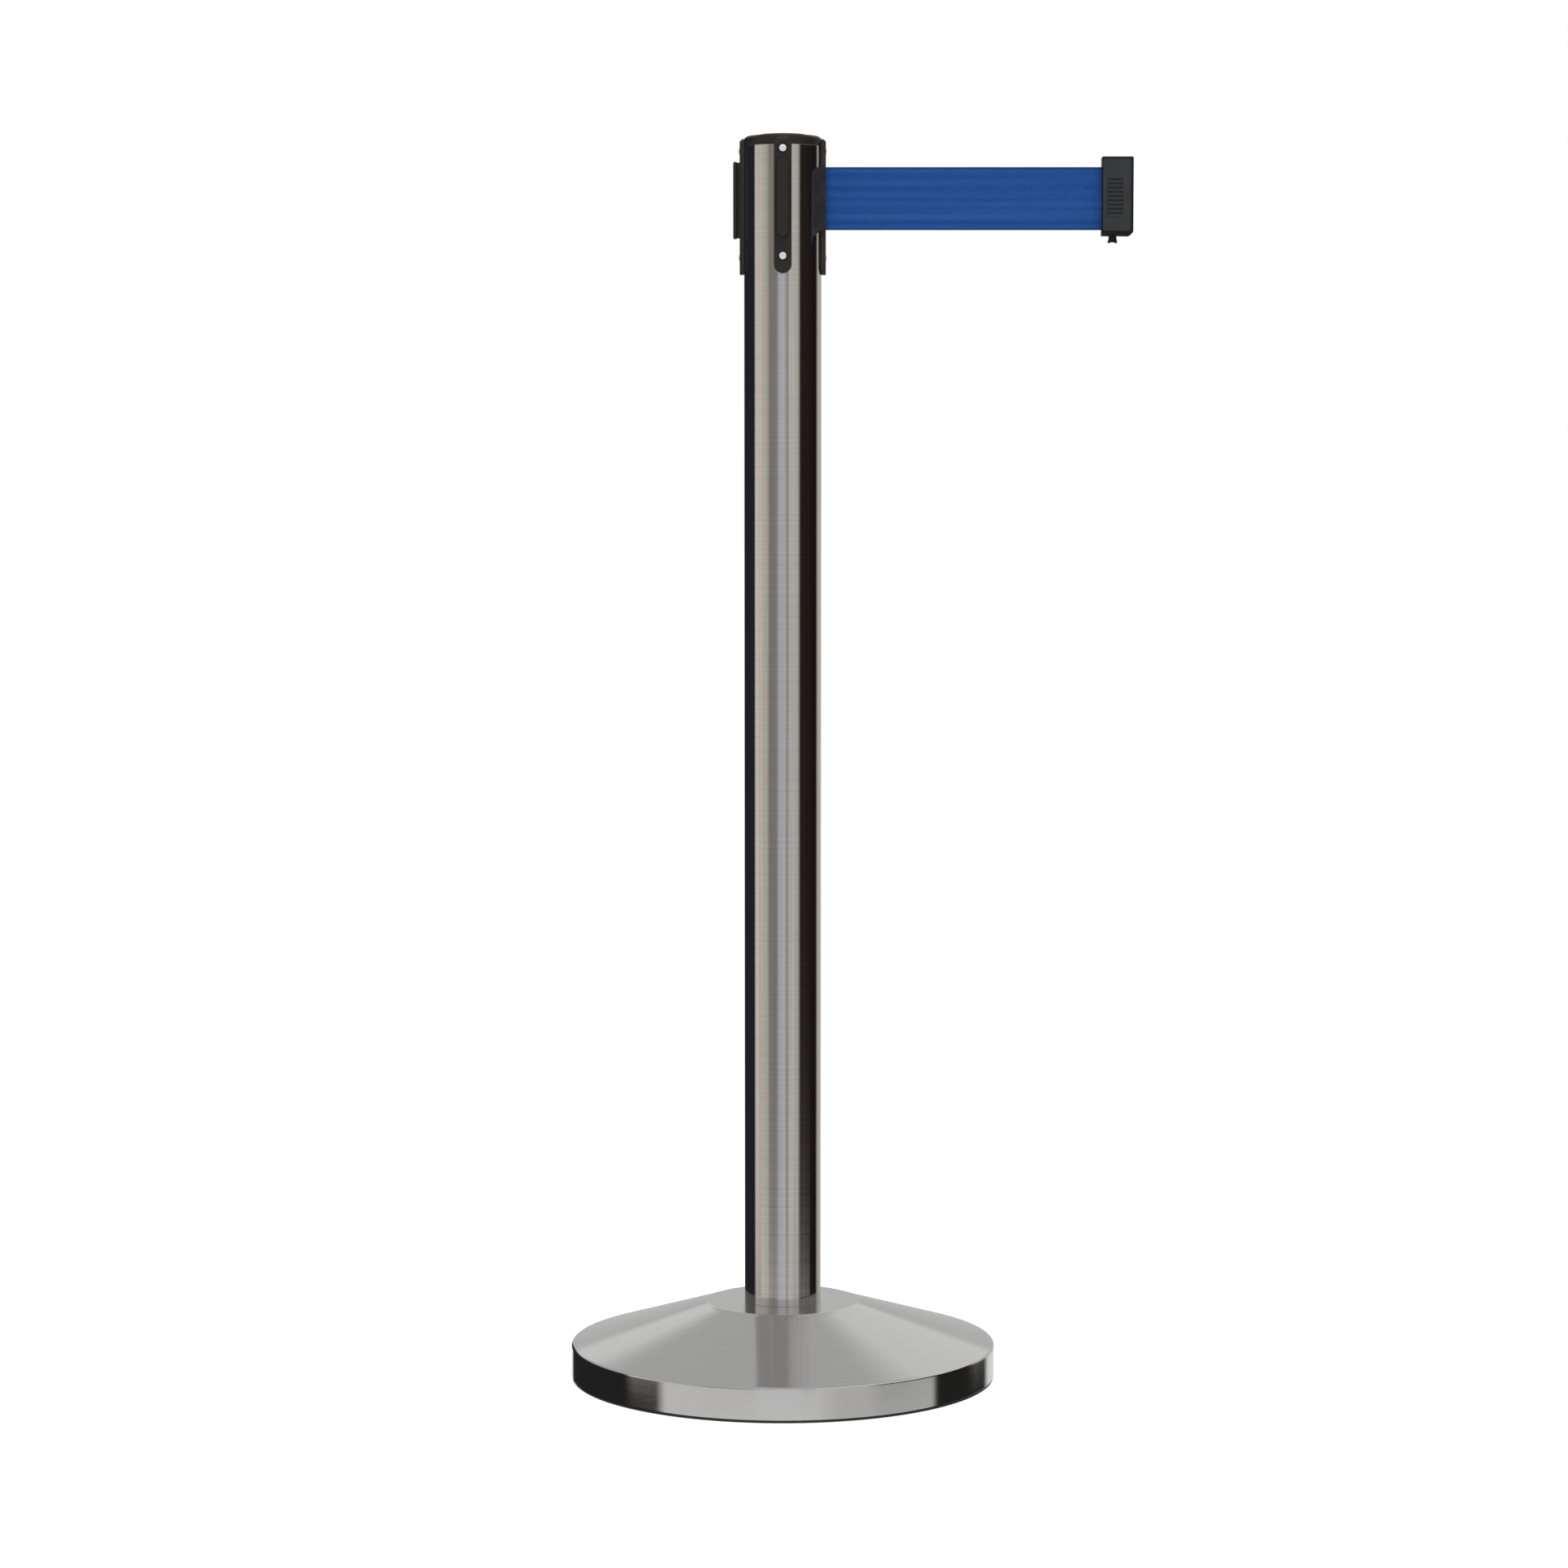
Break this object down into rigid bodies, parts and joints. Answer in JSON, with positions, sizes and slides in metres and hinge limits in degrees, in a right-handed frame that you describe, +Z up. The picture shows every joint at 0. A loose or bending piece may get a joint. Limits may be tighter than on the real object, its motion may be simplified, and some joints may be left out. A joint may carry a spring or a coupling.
{
  "type": "retractable belt stanchion",
  "caption": "Free-standing crowd-control post: weighted round base, stainless tube, plastic head with belt receivers, and a spring-return webbing belt with a docking clip.",
  "frame": {"origin": "on the floor at the axis of the post", "axes": "+Z up along the post, +X towards the belt, the front of the post faces -Y"},
  "size_m": [0.4595, 0.35, 1.02],
  "materials": {
    "brushed_stainless": "fine brushing round the tube, polished on the base",
    "plain_steel": "bright zinc plate",
    "spring_steel": "dark oiled spring steel",
    "black_plastic": "satin moulded ABS",
    "grey_plastic": "fine-grained moulded ABS",
    "white_plastic": "natural acetal",
    "brass": "turned, plain",
    "black_rubber": "matt",
    "concrete": "cast, unpainted",
    "blue_webbing": "flat woven polyester"
  },
  "bodies": {
    "post": {"floor_ring": "black_rubber", "base_weight": "concrete", "base_cover": "brushed_stainless", "base_bolt": "plain_steel", "base_washer": "plain_steel", "post_foot_plug": "plain_steel", "post_tube": "brushed_stainless", "top_cap": "black_plastic", "receiver_front": "black_plastic", "receiver_left": "black_plastic", "receiver_back": "black_plastic", "belt_mouth": "black_plastic", "screw_front_upper": "plain_steel", "screw_front_lower": "plain_steel", "screw_left_upper": "plain_steel", "screw_left_lower": "plain_steel", "screw_back_upper": "plain_steel", "screw_back_lower": "plain_steel", "screw_mouth_upper": "plain_steel", "screw_mouth_lower": "plain_steel", "cassette_housing": "black_plastic", "cassette_base_plate": "black_plastic", "cassette_lid": "black_plastic", "base_plate_screw_a": "plain_steel", "base_plate_screw_b": "plain_steel", "spindle": "plain_steel", "spindle_clip": "spring_steel", "guide_pin_front": "plain_steel", "guide_pin_back": "plain_steel", "spring_barrel": "white_plastic", "spring_cover": "white_plastic", "power_spring": "spring_steel", "belt_lead": "blue_webbing"},
    "spool": {"spool": "white_plastic", "bush_lower": "brass", "bush_upper": "brass", "belt_coil": "blue_webbing"},
    "brake": {"brake_pinion": "white_plastic", "brake_rotor": "black_plastic"},
    "belt_end": {"belt_webbing": "blue_webbing", "belt_tail_loop": "blue_webbing", "clip_belt_pin": "plain_steel", "clip_front_shell": "grey_plastic", "clip_back_shell": "grey_plastic", "clip_foot": "black_plastic", "clip_screw_lower": "plain_steel", "clip_screw_upper": "plain_steel", "latch_pivot_pin": "plain_steel", "latch_spring": "spring_steel"},
    "latch": {"latch_lever": "black_plastic"}
  },
  "joints": [
    {"name": "belt_pull", "type": "slide", "parent": "post", "child": "belt_end", "axis": [1, 0, 0], "range_m": [-0.2225, 1.776], "stiffness_N_per_m": 5, "springref_m": -2.4, "deforming": ["belt_webbing"]},
    {"name": "spool_spin", "type": "hinge", "parent": "post", "child": "spool", "pos_m": [0, 0, 0.9688], "axis": [0, 0, 1], "range_deg": [-818, 6514], "deforming": ["power_spring"]},
    {"name": "brake_spin", "type": "hinge", "parent": "post", "child": "brake", "pos_m": [-0.01188, -0.01188, 1.004], "axis": [0, 0, 1], "range_deg": [-19541, 2450]},
    {"name": "latch_press", "type": "hinge", "parent": "belt_end", "child": "latch", "pos_m": [0.271, 0, 0.9525], "axis": [0, 1, 0], "range_deg": [0, 6], "stiffness_Nm_per_rad": 0.5, "springref_deg": -5.73, "deforming": ["latch_spring"]}
  ],
  "couplings": [
    {"joint": "spool_spin", "follows": "belt_pull", "rad_per_m": 64},
    {"joint": "brake_spin", "follows": "belt_pull", "rad_per_m": -192}
  ]
}
